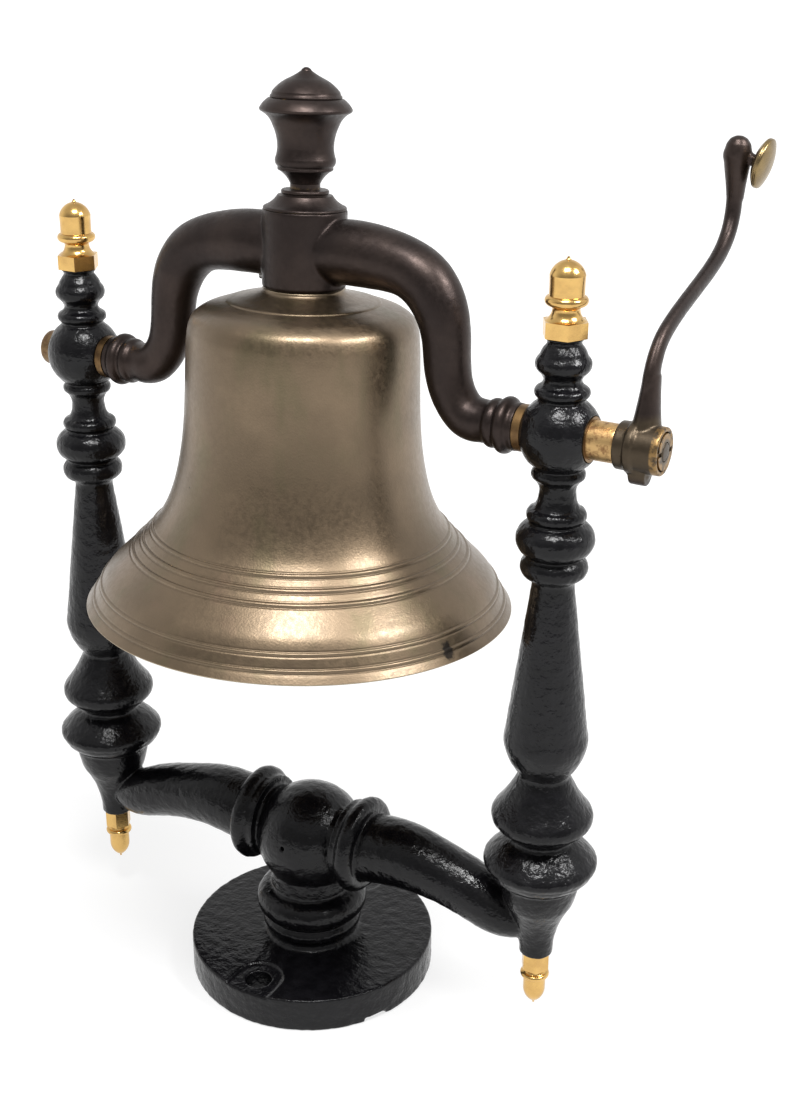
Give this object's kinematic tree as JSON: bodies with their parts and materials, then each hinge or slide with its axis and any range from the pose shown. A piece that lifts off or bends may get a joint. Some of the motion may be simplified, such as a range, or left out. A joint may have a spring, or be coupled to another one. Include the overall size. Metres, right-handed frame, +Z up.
{
  "type": "locomotive bell",
  "caption": "Cast bell on a swinging yoke between turned posts on a round-footed cradle, with a curved crank and an inner clapper.",
  "frame": {"origin": "midway between the two hold-down bolts, on the underside of the foot", "axes": "+Z up, +X along the trunnions to the crank, -Y to the front"},
  "size_m": [0.719, 0.449, 0.9682],
  "materials": {
    "black_paint": "glossy black paint over rough casting",
    "bell_bronze": "aged olive-brown bronze, satin",
    "brown_bronze": "dark brown patina, satin, worn at the edges",
    "polished_brass": "polished",
    "button_brass": "olive brass, rim worn bright",
    "bearing_bronze": "worn bearing bronze",
    "steel": "plain",
    "clapper_iron": "dull, rough"
  },
  "bodies": {
    "stand": {"cradle": "black_paint", "left_post": "black_paint", "right_post": "black_paint", "left_post_stud": "steel", "right_post_stud": "steel", "left_foot_acorn": "polished_brass", "right_foot_acorn": "polished_brass", "left_top_acorn": "polished_brass", "right_top_acorn": "polished_brass", "left_bush": "bearing_bronze", "right_bush": "bearing_bronze"},
    "bell_carriage": {"yoke": "brown_bronze", "bell": "bell_bronze", "bell_stem": "steel", "crown_washer": "steel", "finial": "brown_bronze", "finial_washer": "brown_bronze", "index_pin": "steel", "crank": "brown_bronze", "crank_key": "steel", "crank_nut": "brown_bronze", "rope_button": "button_brass", "clapper_pin": "steel", "clapper_cotter": "steel"},
    "clapper": {"clapper": "clapper_iron"}
  },
  "joints": [
    {"name": "bell_swing", "type": "hinge", "parent": "stand", "child": "bell_carriage", "pos_m": [0, 0, 0.6665], "axis": [1, 0, 0], "continuous": true},
    {"name": "clapper_swing", "type": "hinge", "parent": "bell_carriage", "child": "clapper", "pos_m": [0, 0.00192, 0.70445], "axis": [1, 0, 0], "range_deg": [-32, 26]}
  ]
}
